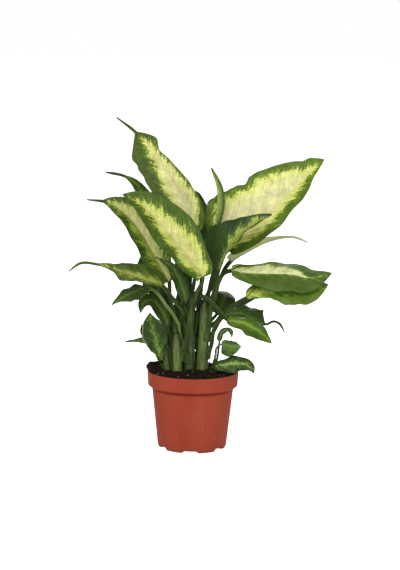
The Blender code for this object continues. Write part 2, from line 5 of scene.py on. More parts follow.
import bmesh
import bpy
from mathutils import Matrix, Vector, noise


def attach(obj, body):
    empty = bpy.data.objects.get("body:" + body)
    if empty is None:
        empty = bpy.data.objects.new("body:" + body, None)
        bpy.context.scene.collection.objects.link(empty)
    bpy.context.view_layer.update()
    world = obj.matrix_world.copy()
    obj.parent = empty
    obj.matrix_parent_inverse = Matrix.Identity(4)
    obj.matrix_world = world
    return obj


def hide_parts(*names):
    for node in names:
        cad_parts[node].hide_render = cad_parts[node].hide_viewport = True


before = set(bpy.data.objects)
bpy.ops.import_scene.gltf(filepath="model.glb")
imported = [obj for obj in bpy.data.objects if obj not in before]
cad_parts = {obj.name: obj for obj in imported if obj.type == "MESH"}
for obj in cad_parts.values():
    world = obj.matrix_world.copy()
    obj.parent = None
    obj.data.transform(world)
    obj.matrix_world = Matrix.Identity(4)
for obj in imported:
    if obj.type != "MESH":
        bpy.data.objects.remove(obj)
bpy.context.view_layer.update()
scene = bpy.context.scene

# -------- camera, floor and light
# The plant stands on a plain white table top, a little below the height of the lens, under one large
# soft lamp at the upper left, a weaker one at the right and one behind. The table is one flat sheet.


def srgb(code):
    """A linear colour from its six-figure sRGB code."""
    parts = [int(code[i : i + 2], 16) / 255 for i in (0, 2, 4)]
    return (*[c / 12.92 if c <= 0.04045 else ((c + 0.055) / 1.055) ** 2.4 for c in parts], 1.0)


def surface(name):
    """A new material: itself, its shader, and the function that adds nodes to it."""
    made = bpy.data.materials.new(name)
    made.use_nodes = True
    return made, made.node_tree.nodes["Principled BSDF"], partial(add_to, made.node_tree)


def add_to(tree, kind, *values, **named):
    """Adds a shader node, or fills one that is there. A kind in capitals after the node's own is its
    operation. Values fill the sockets in order, a name with a capital is one socket, and other names are
    settings. A value is a number, a colour code, a node or a socket."""
    node = kind
    if isinstance(kind, str):
        kind, *operation = kind.split()
        node = tree.nodes.new("ShaderNode" + kind)
        if operation:
            node.operation = operation[0]
    for name, value in named.items():
        if name == "stops":
            ramp = node.color_ramp.elements
            while len(ramp) < len(value):
                ramp.new(0.5)
            for stop, (place, colour) in zip(ramp, value):
                stop.position, stop.color = place, srgb(colour)
        elif not name[0].isupper():
            setattr(node, name, value)
    live = [socket for socket in node.inputs if socket.enabled]
    pairs = list(zip(live, values))
    for name, value in named.items():
        if name[0].isupper():
            pairs.append((next(s for s in live if s.name == name.replace("_", " ")), value))
    for socket, value in pairs:
        if isinstance(value, bpy.types.Node):
            value = next(s for s in value.outputs if s.enabled)
        if isinstance(value, bpy.types.NodeSocket):
            tree.links.new(value, socket)
        else:
            socket.default_value = srgb(value) if isinstance(value, str) else value
    return node


def piece_from(bm, name, material, sharp_angle):
    """Turns a bmesh in millimetres into a piece in metres, smooth but for edges sharper than the angle."""
    bmesh.ops.scale(bm, vec=(0.001, 0.001, 0.001), verts=bm.verts)
    mesh = bpy.data.meshes.new(name)
    bm.to_mesh(mesh)
    bm.free()
    mesh.shade_smooth()
    mesh.set_sharp_from_angle(angle=math.radians(sharp_angle))
    mesh.materials.append(material)
    made = bpy.data.objects.new(name, mesh)
    scene.collection.objects.link(made)
    return made


def soft_lamp(name, place, size, watts):
    """A square soft lamp that looks at the middle of the plant."""
    middle = Vector((0, 0, 0.22))
    lamp = bpy.data.lights.new(name, "AREA")
    lamp.size, lamp.energy = size, watts
    made = bpy.data.objects.new(name, lamp)
    made.location = place
    made.rotation_euler = (middle - Vector(place)).to_track_quat("-Z", "Y").to_euler()
    scene.collection.objects.link(made)


lens = bpy.data.cameras.new("camera")
lens.lens, lens.sensor_width, lens.clip_end = 107.43, 36.0, 100.0
camera = bpy.data.objects.new("camera", lens)
down, roll = 8.43, 0.86
tilt = Matrix.Rotation(math.radians(90 - down), 4, "X") @ Matrix.Rotation(math.radians(roll), 4, "Z")
camera.matrix_world = Matrix.Translation((0.0076, -2.2, 0.5419)) @ tilt
scene.collection.objects.link(camera)
scene.camera = camera
scene.view_settings.view_transform = "Standard"

soft_lamp("key_lamp", (-0.8, -2.2, 1.8), 1.5, 44)
soft_lamp("fill_lamp", (1.2, -1.9, 0.9), 1.3, 9)
soft_lamp("back_lamp", (0.5, 1.9, 1.5), 1.4, 16)

# The white room lights the plant dimly, so the lamps shape it, but it is seen as pure white.
ROOM_LIGHT, ROOM_SEEN = 0.32, 1.0
room = bpy.data.worlds.new("studio")
room.use_nodes = True
room.node_tree.nodes.clear()
add = partial(add_to, room.node_tree)
seen = add("LightPath").outputs["Is Camera Ray"]
dome = add("Background", (1, 1, 1, 1), add("MapRange", seen, 0.0, 1.0, ROOM_LIGHT, ROOM_SEEN))
add("OutputWorld", dome)
scene.world = room

# Painted white table top: even and matt. It glows less to the plant than to the lens, so that the pot
# isn't lit from below.
GLOW_LIGHT, GLOW_SEEN = 0.2, 0.9
TABLE_RADIUS = 40000
white_top, shader, add = surface("white_table_top")
dust = add("TexNoise", add("TexCoord").outputs["Object"], Scale=3.0)
tone = add("ValToRGB", dust, stops=((0.3, "F7F7F7"), (0.7, "FDFDFD")))
add(shader, Base_Color=tone, Roughness=0.9, Specular_IOR_Level=0.1)
seen = add("LightPath").outputs["Is Camera Ray"]
glow = add("MapRange", seen, 0.0, 1.0, GLOW_LIGHT, GLOW_SEEN)
add(shader, Emission_Color=(1, 1, 1, 1), Emission_Strength=glow)
sheet = bmesh.new()
bmesh.ops.create_circle(sheet, cap_ends=True, segments=96, radius=TABLE_RADIUS)
floor = piece_from(sheet, "table_top", white_top, 30)

# -------- pot
# A 12 cm nursery pot, injection moulded in one shot of terracotta-coloured polypropylene: a deep collar to
# lift it by, a thin tapered wall, and six feet between the notches that let water out of its drain holes.
WALL = 1.3
FOOT_R, FOOT_Z = 45.4, 4.6  # where the foot's curve ends and the taper starts
NECK_R = 53.5  # the top of the taper, under the collar
TAPER_RISE = 74.9
NOTCH_TURN = math.radians(-3.4)
NOTCH_TOP = 4.7
NOTCH_HALF, NOTCH_SLOPE = math.radians(14.6), math.radians(2.6)
FEET_IN, FEET_OUT = 32, 46.2  # the band of the floor that the feet stand in
DRAIN_RING, DRAIN_R = 36.5, 2.6


def turned(profile, steps):
    """Spins an (r, z) profile about Z; its two ends lie on the axis."""
    bm = bmesh.new()
    rail = [bm.verts.new((r, 0.0, z)) for r, z in profile]
    wire = [bm.edges.new(pair) for pair in zip(rail, rail[1:])]
    bmesh.ops.spin(
        bm, geom=rail + wire, cent=(0, 0, 0), axis=(0, 0, 1), angle=math.tau, steps=steps, use_merge=True
    )
    bmesh.ops.remove_doubles(bm, verts=bm.verts, dist=1e-4)
    bmesh.ops.recalc_face_normals(bm, faces=bm.faces)
    return bm


foot = [
    (0, 0), (24, 0), (30.6, 0), (32.4, 0), (37, 0), (41, 0), (42.8, 0.3), (44, 1.0), (44.7, 2.1),
    (FOOT_R, FOOT_Z),
]
body_z = (6.4, 9, 16, 24, 32, 40, 48, 56, 64, 72, 77)
body = [(FOOT_R + (NECK_R - FOOT_R) * (z - FOOT_Z) / TAPER_RISE, z) for z in body_z]
under_collar = [
    (NECK_R, 78.9), (53.7, 79.5), (54.3, 80.0), (57.9, 83.0), (58.6, 83.5), (58.95, 84.2), (59.05, 85.2),
]
lip = [
    (59.35, 90), (59.7, 96), (59.95, 100.4), (59.95, 101.2), (59.7, 101.75), (59.3, 102),
    (58.8, 101.95), (58.45, 101.6),
]
inside = [
    (58.3, 100.5), (57.8, 85.2), (52.6, 80.2), (45.5, 10), (43.5, 4), (41, WALL), (33, WALL),
    (30, WALL), (0, WALL),
]
bm = turned(foot + body + under_collar + lip + inside, 144)
bmesh.ops.rotate(bm, verts=bm.verts, cent=(0, 0, 0), matrix=Matrix.Rotation(NOTCH_TURN, 3, "Z"))
# The rim of the floor is lifted in six places, which leaves the feet standing between them.
for v in bm.verts:
    r = v.co.xy.length
    off = (math.atan2(v.co.x, -v.co.y) - NOTCH_TURN + math.pi / 6) % (math.pi / 3) - math.pi / 6
    open_share = min(1.0, max(0.0, (NOTCH_HALF - abs(off)) / NOTCH_SLOPE))
    if FEET_IN < r < FEET_OUT and v.co.z < NOTCH_TOP:
        inner = v.co.z > WALL - 0.1 and r < 44
        v.co.z += (NOTCH_TOP + (WALL if inner else 0.0) - v.co.z) * open_share
# A drain hole goes through both skins of the floor at each notch, and its wall joins the two.
for i in range(6):
    turn = NOTCH_TURN + i * math.pi / 3
    centre = Vector((DRAIN_RING * math.sin(turn), -DRAIN_RING * math.cos(turn)))
    middles = [(f, f.calc_center_median()) for f in bm.faces]
    hit = [f for f, middle in middles if (middle.xy - centre).length < DRAIN_R and middle.z < 8]
    bmesh.ops.delete(bm, geom=hit, context="FACES")
    bmesh.ops.bridge_loops(bm, edges=[e for e in bm.edges if e.is_boundary])
bmesh.ops.recalc_face_normals(bm, faces=bm.faces)

# Terracotta-coloured polypropylene, moulded and handled: a matt, even red that clouds a little along its
# height and has a 1 mm grain. Painted shade darkens the crease under the collar, where the collar's
# underside is in shadow. It is paler where it is rubbed in fine upright scuffs, and soiled at the foot.
CREASE_Z = 0.0803  # in metres, as all places in a material are
SEAM_X, SEAM_FROM_Z = 0.0122, 0.084
terracotta, shader, add = surface("terracotta_polypropylene")
at = add("TexCoord").outputs["Object"]
xyz = add("SeparateXYZ", at).outputs
cloud = add("TexNoise", add("Mapping", at, Scale=(26, 26, 7)), Scale=1.0, Detail=3.0)
red = add("ValToRGB", cloud, stops=((0.35, "983D29"), (0.65, "A44832")))
grain = add("TexNoise", at, Scale=900.0)
specks = add("ValToRGB", grain, stops=((0.3, "6E2414"), (0.7, "A8553C")))
red = add("Mix", 0.10, red, specks, data_type="RGBA")
# Painted shade: a band of darker red in the crease under the collar stands in for its shadow.
painted_crease_shade = add("Math ABSOLUTE", add("Math SUBTRACT", xyz[2], CREASE_Z))
painted_crease_shade = add("MapRange", painted_crease_shade, 0.0012, 0.0030, 0.85, 0.0, interpolation_type="SMOOTHSTEP")
scuff_lie = add("Mapping", at, Rotation=(0.4, 0, 0.3), Scale=(700, 700, 160))
scuff = add("MapRange", add("TexNoise", scuff_lie, Scale=1.0, Detail=4.0), 0.60, 0.72, 0.0, 1.0)
patch = add("MapRange", add("TexNoise", at, Scale=34.0), 0.52, 0.68, 0.0, 0.55)
rubbed = add("Math MULTIPLY", scuff, patch)
splash = add("MapRange", xyz[2], 0.012, 0.0, 0.0, 0.5)
# The two halves of the mould met at the front: a faint raised seam down the collar, and a dark pip at
# its foot.
seam = add("Math ABSOLUTE", add("Math SUBTRACT", xyz[0], SEAM_X))
seam = add("MapRange", seam, 0.0001, 0.0006, 1.0, 0.0)
front = add("Math LESS_THAN", xyz[1], 0.0)
seam = add("Math MULTIPLY", seam, front)
collar = add("Math GREATER_THAN", xyz[2], SEAM_FROM_Z)
seam = add("Math MULTIPLY", seam, collar)
faint = add("Math MULTIPLY", seam, 0.35)
pip = add("VectorMath DISTANCE", at, (SEAM_X, -0.0577, 0.0850)).outputs["Value"]
pip = add("MapRange", pip, 0.0004, 0.0010, 0.9, 0.0)
# The crease's painted shade comes first, then the scuffs, the soiling at the foot, the seam and the pip.
marks = ((painted_crease_shade, "6E1E10"), (rubbed, "C98F78"), (splash, "7E4434"), (faint, "B4614A"), (pip, "4A1810"))
for share, code in marks:
    red = add("Mix", share, red, code, data_type="RGBA")
rough = add("MapRange", add("TexNoise", at, Scale=60.0, Detail=4.0), 0.3, 0.7, 0.5, 0.62)
height = add("Math ADD", add("Math MULTIPLY", seam, 0.6), grain)
bump = add("Bump", Strength=0.25, Distance=0.0002, Height=height)
add(shader, Base_Color=red, Roughness=rough, Normal=bump, Specular_IOR_Level=0.06)
pot = piece_from(bm, "nursery_pot", terracotta, 32)
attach(pot, "root")
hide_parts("pot")

# -------- soil
# Dark peat and bark potting mix, pressed in by hand and heaped a little above the rim, with loose crumbs,
# bits of bark and a few white grains of perlite. At the back left some of it has spilled over the rim.
SOIL_TOP = 99.0
SOIL_R = 57.6  # where it meets the pot's wall
BED_STEP = 0.5  # between the rows down the soil's edge
# For each row down the edge of the spill: how far it stands out, and how high it lies over the pot's rim.
SPILL_OUT = (0.8, 0.93, 1.0, 0.95, 0.85, 0.5, 0.0)
SPILL_LIFT = (5.6, 4.6, 3.4, 2.2, 1.2, 0.6, 0.5)
RIM_TOP = 102.0


def spill(x, y):
    """How far the soil is heaped over the rim here: 1 at the middle of the heap, 0 beside it."""
    middle, half = math.radians(-112), math.radians(42)
    off = abs((math.atan2(x, -y) - middle + math.pi) % math.tau - math.pi) / half
    return math.cos(off * math.pi / 2) ** 0.7 if off < 1.0 else 0.0


def soil_height(x, y):
    """The height of the soil: heaped at the middle, higher at the back left, and uneven."""
    r = math.hypot(x, y) / 60.0
    coarse = noise.noise(Vector((x / 15.0, y / 15.0, 3.1)))
    fine = noise.noise(Vector((x / 7.0, y / 7.0, 8.4)))
    heap = 4.5 * (1.0 - r * r) + 6.0 * spill(x, y) * min(1.0, r) ** 8
    return SOIL_TOP + heap + 2.0 * max(0.0, (y - x) / 60.0) + 2.0 * (coarse + 0.4 * fine)


noise.seed_set(11)  # noise_vector takes its seed from the clock unless it is given one
rings = [(SOIL_R * i / 44, SOIL_TOP) for i in range(45)]
edge = [(SOIL_R, SOIL_TOP - BED_STEP * i) for i in range(1, 7)]
bed = turned(rings + edge + [(56.5, 86), (0, 86)], 150)
for v in bed.verts:
    step = round((SOIL_TOP - v.co.z) / BED_STEP)
    if step > 6:
        continue
    reach = v.co.xy.length
    heaped = min(1.0, 2.5 * spill(v.co.x, v.co.y))
    out = 6.0 * max(0.0, spill(v.co.x, v.co.y) - 0.4) / 0.6 * SPILL_OUT[step]
    v.co.xy *= 1.0 + out * (reach > 57.0) / max(reach, 1.0)
    over_rim = RIM_TOP + SPILL_LIFT[step]
    v.co.z = soil_height(v.co.x, v.co.y) - BED_STEP * step
    v.co.z += (over_rim - v.co.z) * heaped * (step > 0)
    if step < 6:
        grit = noise.noise_vector(v.co / 2.3) * 0.55 + noise.noise_vector(v.co / 1.1) * 0.25
        v.co += grit * (1.0 if reach < 56.0 else 0.5)
bmesh.ops.recalc_face_normals(bed, faces=bed.faces)

# Damp peat, sifted and crumbled: clods of 4 mm from near black to dark brown, dull, with a few paler
# fibres of 1 by 4 mm.
peat, shader, add = surface("peat_potting_mix")
at = add("TexCoord").outputs["Object"]
clods = add("TexNoise", at, Scale=260.0, Detail=5.0, Roughness=0.7)
brown = add("ValToRGB", clods, stops=((0.3, "0E0704"), (0.52, "20120A"), (0.75, "3C2918")))
fibre_lie = add("Mapping", at, Rotation=(0.5, 0.9, 0.4), Scale=(1500, 260, 900))
fibre = add("MapRange", add("TexNoise", fibre_lie, Scale=1.0), 0.66, 0.72, 0.0, 0.7)
brown = add("Mix", fibre, brown, "5A4432", data_type="RGBA")
bump = add("Bump", Strength=0.8, Distance=0.0008, Height=clods)
rough = add("MapRange", clods, 0.3, 0.7, 0.8, 1.0)
add(shader, Base_Color=brown, Roughness=rough, Normal=bump, Specular_IOR_Level=0.2)
bed = piece_from(bed, "potting_mix", peat, 60)
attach(bed, "root")
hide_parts("soil")


def scattered(name, material, count, sizes, flat, faces, seed):
    """Loose bits of one kind, as few-faced lumps that lie half sunk in the soil. sizes: across, from the
    least to the greatest; flat: thickness for its width; faces: how often each lump is subdivided."""
    spread = 56.3
    dice = random.Random(seed)
    bm = bmesh.new()
    for _ in range(count):
        turn, reach = dice.uniform(0, math.tau), spread * math.sqrt(dice.uniform(0.02, 1.0))
        x, y = reach * math.sin(turn), -reach * math.cos(turn)
        size = dice.uniform(*sizes)
        lump = bmesh.ops.create_icosphere(bm, subdivisions=faces, radius=size / 2)["verts"]
        for v in lump:
            v.co *= 1.0 + 0.45 * noise.noise(v.co / size * 1.7 + Vector((seed, x, y)))
            v.co = Vector((v.co.x * dice.uniform(0.95, 1.05), v.co.y * flat, v.co.z * (0.45 + 0.5 * flat)))
        spin = Matrix.Rotation(dice.uniform(0, math.tau), 4, "Z")
        spin = spin @ Matrix.Rotation(dice.uniform(-0.6, 0.6), 4, "X")
        lift = Matrix.Translation((x, y, soil_height(x, y) + size * 0.12))
        bmesh.ops.transform(bm, matrix=lift @ spin, verts=lump)
    made = piece_from(bm, name, material, 50)
    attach(made, "root")


scattered("peat_crumbs", peat, 900, sizes=(1.2, 4.2), flat=0.8, faces=1, seed=4)
scattered("bark_chips", peat, 90, sizes=(3.5, 7.5), flat=0.4, faces=2, seed=9)

# Expanded perlite, puffed by heat: matt white grains, greyer in their pits.
perlite, shader, add = surface("expanded_perlite")
at = add("TexCoord").outputs["Object"]
pits = add("TexNoise", at, Scale=1400.0, Detail=3.0)
white = add("ValToRGB", pits, stops=((0.35, "8E8880"), (0.6, "D9D5CC")))
add(shader, Base_Color=white, Roughness=add("MapRange", pits, 0.3, 0.7, 0.7, 0.9))
add(shader, Normal=add("Bump", Strength=0.5, Distance=0.0003, Height=pits))
scattered("perlite_grains", perlite, 60, sizes=(0.8, 1.9), flat=0.9, faces=1, seed=21)

# -------- canes
# The fleshy green stems. Each is ringed where an old leaf has fallen, streaked along its length, and
# rooted upright in the soil. Its growing point is hidden among the sheaths of its leaves.
ROOT_Z = 68.0
CANE_TAPER = 0.35
SCAR_GAP = 12.0
# foot: its place in the soil; top: its growing point; r: its radius at the soil; painted_light: how much
# painted light the cane has, low for the canes painted as in shade at the back and among the leaves.
CANES = {
    "a": dict(foot=(-33, -3), top=(-40, -2, 150), r=5.6, painted_light=0.25),
    "b": dict(foot=(-20, -9), top=(-23, -8, 155), r=6.6, painted_light=0.8),
    "c": dict(foot=(-5, 5), top=(-4, 10, 204), r=7.4, painted_light=0.2),
    "d": dict(foot=(12, -1), top=(15, 3, 198), r=8.2, painted_light=0.55),
    "e": dict(foot=(27, -16), top=(27, -18, 122), r=2.8, painted_light=0.2),
    "f": dict(foot=(8, 30), top=(6, 36, 206), r=5.0, painted_light=0.1),
    "g": dict(foot=(-24, 24), top=(-29, 28, 156), r=4.6, painted_light=0.1),
}


def cane_share(key, z):
    """How far up the cane a height is: 0 at the soil and below it, 1 at the growing point."""
    return max(0.0, (z - SOIL_TOP) / (CANES[key]["top"][2] - SOIL_TOP))


def cane_point(key, z):
    """The middle of the cane at a height. Below the soil it stands upright."""
    foot = Vector((*CANES[key]["foot"], SOIL_TOP))
    at = foot.lerp(Vector(CANES[key]["top"]), cane_share(key, z))
    return Vector((at.x, at.y, z))


def cane_radius(key, z):
    return CANES[key]["r"] * (1.0 - CANE_TAPER * cane_share(key, z))


# Cane skin, grown and full of water: smooth and softly shiny, in dark and light green streaks that run up
# it, with darker blotches and a pale corky ring at each leaf scar. It is painted in a shaded and a lit copy
# of its green, blended by painted light: darker on canes that stand in shade, and darker towards the
# growing point, as painted shade under the crowded leaves.
cane_skin, shader, add = surface("cane_skin")
at = add("TexCoord").outputs["Object"]
scar_and_light = add("SeparateXYZ", add("Attribute", attribute_name="bark")).outputs
streaks = add("TexNoise", add("Mapping", at, Scale=(620, 620, 34)), Scale=1.0, Detail=3.0)
# Painted light and shade: a shaded and a lit copy of the streaked green, blended by the cane's painted
# light.
shaded_green = add("ValToRGB", streaks, stops=((0.35, "1A260C"), (0.65, "34481A")))
lit_green = add("ValToRGB", streaks, stops=((0.35, "52681E"), (0.65, "829842")))
green = add("Mix", scar_and_light[1], shaded_green, lit_green, data_type="RGBA")
blotch = add("MapRange", add("TexNoise", at, Scale=210.0), 0.5, 0.7, 0.0, 0.5)
green = add("Mix", blotch, green, "283C10", data_type="RGBA")
ring = add("MapRange", scar_and_light[0], 0.35, 0.9, 0.0, 0.75)
green = add("Mix", ring, green, "A9A878", data_type="RGBA")
bump = add("Bump", Strength=0.3, Distance=0.0004, Height=streaks)
rough = add("MapRange", streaks, 0.3, 0.7, 0.36, 0.5)
add(shader, Base_Color=green, Roughness=rough, Normal=bump)

for key, spec in CANES.items():
    top_z = spec["top"][2]
    levels = [ROOT_Z + 1.5 * i for i in range(int((top_z - ROOT_Z - 1.0) / 1.5))]
    wall = [(cane_radius(key, z) * min(1.0, 0.3 + ((top_z - z) / 18.0) ** 0.7), z) for z in levels]
    bm = turned([(0, ROOT_Z), *wall, (0, top_z)], 32)
    bark = bm.verts.layers.float_vector.new("bark")
    for v in bm.verts:
        off = abs((v.co.z - SOIL_TOP) / SCAR_GAP % 1.0 - 0.5) * SCAR_GAP
        swell = max(0.0, 1.0 - off / 2.2)
        near = max(0.0, 1.0 - off / 0.9)
        v.co.xy *= 1.0 + (0.22 * swell * swell + 0.12 * noise.noise(v.co / 5.0)) / max(v.co.xy.length, 1.0)
        # The second value is painted light: the cane's share, which fades to painted shade over the top 30
        # mm.
        v[bark] = (near, spec["painted_light"] * min(1.0, (top_z - v.co.z) / 30.0), 0.0)
        v.co += cane_point(key, v.co.z).xy.to_3d()
    made = piece_from(bm, f"cane_stem_{key}", cane_skin, 60)
    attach(made, "root")
    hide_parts(f"cane_{key}")

# -------- leaves
# Each leaf clasps its cane with a sheath, stands on a fleshy half-round stalk, and spreads a thin blade to
# either side of a deep midrib: soft, slightly glossy, cream in the middle and mottled green to the margin.


def smoothstep(x):
    """Eases from 0 to 1 as x does, and stays at either end beyond."""
    x = min(1.0, max(0.0, x))
    return x * x * (3.0 - 2.0 * x)


def smooth_path(points, steps=12):
    """A smooth curve through the points, as many short steps, with the step number of each point."""
    ends = [points[0] * 2 - points[1], *points, points[-1] * 2 - points[-2]]
    path, marks = [], []
    for p0, p1, p2, p3 in zip(ends, ends[1:], ends[2:], ends[3:]):
        marks.append(len(path))
        k = (p2 - p1).length
        m1 = ((p1 - p0) / (p1 - p0).length + (p2 - p1) / k).normalized() * k
        m2 = ((p2 - p1) / k + (p3 - p2) / (p3 - p2).length).normalized() * k
        for i in range(steps):
            t = i / steps
            a, b = 2 * t**3 - 3 * t**2 + 1, t**3 - 2 * t**2 + t
            path.append(p1 * a + m1 * b + p2 * (1 - a) + m2 * (t**3 - t**2))
    marks.append(len(path))
    path.append(points[-1].copy())
    return path, marks


class Axis:
    """The line up a leaf's stalk and along its midrib."""

    def __init__(self, spec):
        key, node = spec["cane"], spec["node"]
        turn = math.radians(spec["turn"])
        self.out = Vector((math.sin(turn), -math.cos(turn), 0.0))
        self.clasp_r = cane_radius(key, node) + 0.4
        reach = spec.get("sheath", 16.0)
        seats = [
            cane_point(key, node) + self.out * self.clasp_r,
            cane_point(key, node + reach) + self.out * (self.clasp_r + 1.2),
        ]
        points = seats + [Vector(p) for p in spec.get("stalk", [])] + [Vector(p) for p in spec["blade"]]
        self.path, marks = smooth_path(points)
        self.lengths = [0.0]
        for a, b in zip(self.path, self.path[1:]):
            self.lengths.append(self.lengths[-1] + (b - a).length)
        self.sheath = self.lengths[marks[1]]
        self.neck = self.lengths[marks[-len(spec["blade"])]]
        self.end = self.lengths[-1]

    def at(self, s):
        """The point and the direction a length s along the line."""
        s = min(max(s, 0.0), self.end)
        i = next((i for i, length in enumerate(self.lengths[1:]) if length >= s), len(self.lengths) - 2)
        span = self.lengths[i + 1] - self.lengths[i]
        point = self.path[i].lerp(self.path[i + 1], (s - self.lengths[i]) / span)
        before, after = max(i - 1, 0), min(i + 2, len(self.path) - 1)
        return point, (self.path[after] - self.path[before]).normalized()


def blade_outline(t):
    """The share of its greatest half width that a plain blade has at t, from the neck to the tip."""
    return 2.31 * t**0.45 * (1.0 - t) ** 0.85


def half_width(values, t):
    """Half widths at even steps between the neck and the tip scale the plain outline."""
    if isinstance(values, (int, float)):
        return values * blade_outline(t)
    count = len(values) + 1
    scales = [value / blade_outline((i + 1) / count) for i, value in enumerate(values)]
    scales = [scales[0], *scales, scales[-1]]
    place = t * count
    i = min(int(place), count - 1)
    return blade_outline(t) * (scales[i] + (scales[i + 1] - scales[i]) * smoothstep(place - i))


# Where the lengthwise rows of points lie, as shares of a half width: closest together by the midrib.
ACROSS = (0.02, 0.045, 0.08, 0.13, 0.2, 0.29, 0.39, 0.5, 0.61, 0.72, 0.82, 0.91, 0.97, 1.0)
COLUMNS = [-v for v in reversed(ACROSS)] + [0.0, *ACROSS]
CLASP = math.radians(50)  # half of the turn that a sheath takes round its cane
SHEATH_DEPTH, STALK_DEPTH = 1.6, 3.6  # how thick each is, the stalk when it is 5 mm wide
STALK_BEND = 4.5  # the radius of the hollow along the stalk's top
BLADE_DEPTH, MID_DEPTH = 0.45, 0.1  # the blade's thickness, and what is added towards the midrib
GROOVE, GROOVE_HALF = 0.5, 1.3  # the groove along the midrib: its depth and half width
RIB_HALF = 0.9  # the rib underneath: its half width at the neck, as a share of the stalk's
RIB_DEPTH, RIB_TIP = 3.4, 0.6  # its depth at the neck, when the stalk is 5 mm wide, and at the tip
VEIN_LEAN = 0.012  # how fast the side veins bend towards the tip, per mm from the midrib
VEIN_RELIEF = 0.012  # of the gap between two veins
ARCH = 0.035  # how far each half bulges between the midrib and the margin, for its width
NECK_END = 0.03  # the share of the blade over which the stalk becomes the blade
WAVE_LAG = 1.9  # how far the right half's waves are out of step with the left half's, in radians


class Leaf:
    """Works out where each point of a leaf's upper face and underside lies."""

    def __init__(self, spec):
        self.spec = spec
        self.axis = Axis(spec)
        self.face = Vector(spec["face"]).normalized()
        self.tail = spec.get("tail", 0.0)
        self.stalk_r = spec.get("stalk_r", 2.5)
        self.length = self.axis.end - self.axis.neck
        self.vein_gap = 4.0 + 0.06 * self.length
        self.lobe = min(6.0, 0.045 * self.length)
        free = max(8, math.ceil(self.axis.neck / 4.0))
        self.rows = [self.station(self.axis.neck * i / free, 0.0) for i in range(free)]
        # The rows of the blade lie closer together at the neck and at the tip.
        count = max(26, math.ceil(self.length / 1.9))
        for i in range(count + 1):
            u = i / count
            t = 0.65 * u + 0.35 * (0.5 - 0.5 * math.cos(math.pi * u))
            self.rows.append(self.station(self.axis.neck + t * self.length, t))

    def station(self, s, t):
        """All that the points of one row share."""
        point, along = self.axis.at(s)
        turned_over = smoothstep((s - self.axis.sheath) / max(self.axis.neck - self.axis.sheath, 1.0))
        normal = (-self.axis.out).lerp(self.face, turned_over)
        normal = (normal - along * along.dot(normal)).normalized()
        body = min(1.0, t / (1.0 - self.tail))
        widths = [half_width(self.spec[hand], body) if body < 1.0 else 0.0 for hand in ("left", "right")]
        # No half is narrower than 2 mm, or than 0.6 mm at the very tip.
        slim = 0.6 + 1.4 * min(1.0, (1.0 - t) * 8.0)
        widths = [max(width, slim if t > 0.5 else self.stalk_r) for width in widths]
        side = along.cross(normal)
        return dict(s=s, t=t, body=body, at=point, along=along, up=normal, side=side, widths=widths)

    def stalk(self, row, v, under):
        """A point of the sheath or stalk: a half tube round the cane that closes to a half-round stalk."""
        free = smoothstep(row["s"] / self.axis.sheath - 0.4)
        hug = self.axis.clasp_r
        bend = hug + (STALK_BEND - hug) * free
        half = hug * math.sin(CLASP) * (1.0 - free) + self.stalk_r * free
        cup = bend - math.sqrt(bend * bend - (half * v) ** 2)
        depth = SHEATH_DEPTH + (STALK_DEPTH * self.stalk_r / 2.5 - SHEATH_DEPTH) * free
        drop = 0.5 + (depth + 0.3) * (1.0 - v * v) ** (1.0 - 0.35 * free) if under else 0.0
        return row["at"] + row["side"] * half * v + row["up"] * (cup - drop)

    def blade(self, row, v, under):
        """A point of the blade: folded at the midrib, waved at the margin, and ribbed underneath."""
        width, fold = row["widths"][v > 0], math.radians(self.spec.get("fold", (12, 12))[v > 0])
        sign = -1.0 if v < 0 else 1.0
        reach = abs(v) * width
        out = row["side"] * sign * math.cos(fold) + row["up"] * math.sin(fold)
        facing = row["up"] * math.cos(fold) - row["side"] * sign * math.sin(fold)
        rise = self.ripple(row["body"], v) * min(1.0, width / 14.0)
        rise += ARCH * width * math.sin(math.pi * abs(v))
        rise -= GROOVE * math.exp(-((reach / GROOVE_HALF) ** 2))
        vein = (row["t"] * self.length - reach - VEIN_LEAN * reach * reach) / self.vein_gap
        ridge = VEIN_RELIEF * self.vein_gap * math.sin(math.tau * vein)
        rise += ridge * min(1.0, reach / 6.0) * (1.0 - abs(v) ** 4)
        swept = -min(self.lobe, 0.3 * width) * v * v * (1.0 - smoothstep(row["body"] / 0.22))
        place = row["at"] + out * reach + facing * rise + row["along"] * swept
        if not under:
            return place
        t = row["t"]
        half = RIB_HALF * (0.5 + (self.stalk_r - 0.5) * (1.0 - t) ** 0.8)
        rib = RIB_TIP + (RIB_DEPTH * self.stalk_r / 2.5 - RIB_TIP) * (1.0 - t) ** 0.8
        depth = rib * math.sqrt(max(0.0, 1.0 - (reach / half) ** 2)) if t < 1.0 else 0.0
        return place - facing * (BLADE_DEPTH + MID_DEPTH * (1.0 - abs(v))) - row["up"] * depth

    def ripple(self, body, v):
        """The wave of the margin, in mm."""
        height, count, phase = self.spec.get("wave", (2.0, 3.0, 0.0))
        turn = math.tau * count * body + phase + (WAVE_LAG if v > 0 else 0.0)
        return height * v * v * math.sin(turn) * math.sin(math.pi * min(1.0, body + 0.08))

    def place(self, row, v, under):
        if row["t"] >= NECK_END:
            return self.blade(row, v, under)
        stalk = self.stalk(row, v, under)
        return stalk.lerp(self.blade(row, v, under), smoothstep(row["t"] / NECK_END)) if row["t"] else stalk


def steps_along(values, t):
    """The value at t among values at even steps from 0 to 1."""
    place = min(t, 1.0) * (len(values) - 1)
    i = min(int(place), len(values) - 2)
    return values[i] + (values[i + 1] - values[i]) * (place - i)


